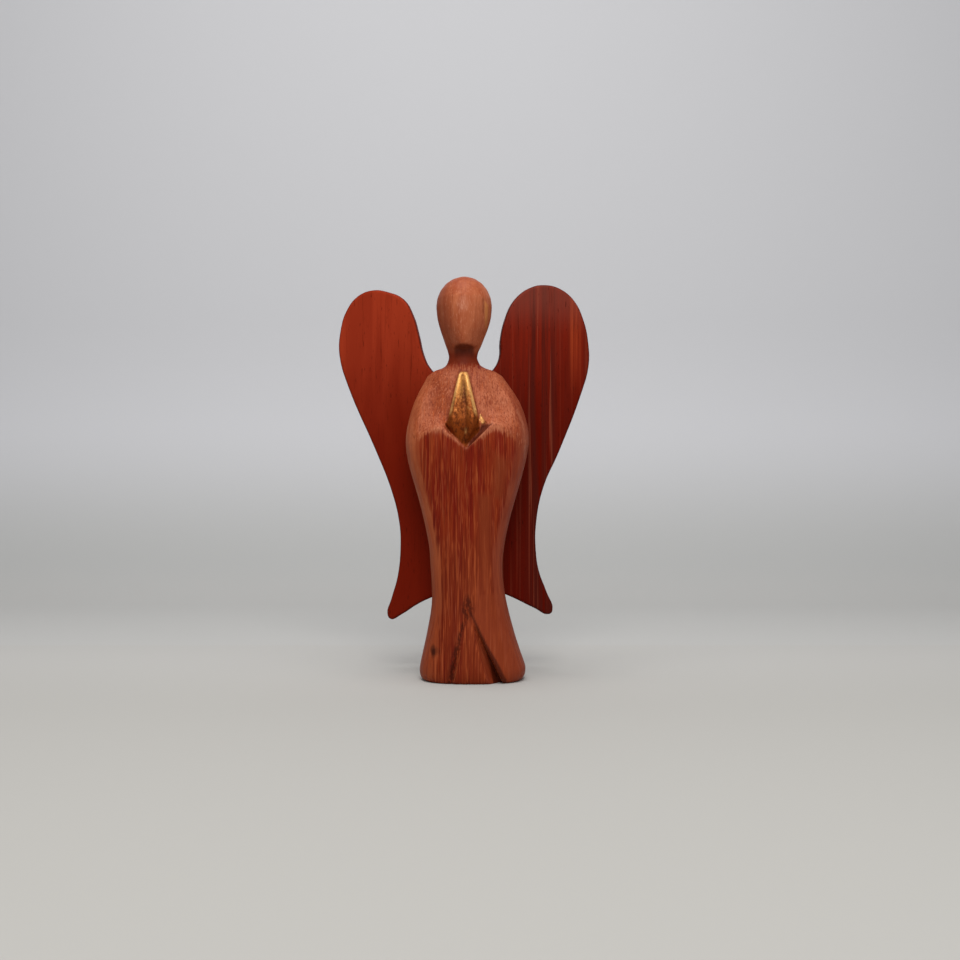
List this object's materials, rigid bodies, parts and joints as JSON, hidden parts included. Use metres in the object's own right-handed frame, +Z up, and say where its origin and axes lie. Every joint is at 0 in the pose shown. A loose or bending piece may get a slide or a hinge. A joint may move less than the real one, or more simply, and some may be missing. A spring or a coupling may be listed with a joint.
{
  "type": "wooden angel statue",
  "caption": "Hand-carved faceless wooden angel with folded gilded hands, a split-hem robe and flat swept board wings. It stands on its flat underside.",
  "frame": {"origin": "on the ground, under the middle of the whole angel's bounding box", "axes": "+Z up, -Y the way the angel faces, +X to the viewer's right, which is the angel's own left"},
  "size_m": [0.1292, 0.0532, 0.2],
  "materials": {
    "body_wood": "open-pored red-brown hardwood, waxed to a low sheen, with gilded hands",
    "wing_wood": "sanded dark red board, waxed to a soft sheen"
  },
  "bodies": {
    "root": {"body": "body_wood", "right_wing": "wing_wood", "left_wing": "wing_wood"}
  },
  "joints": []
}
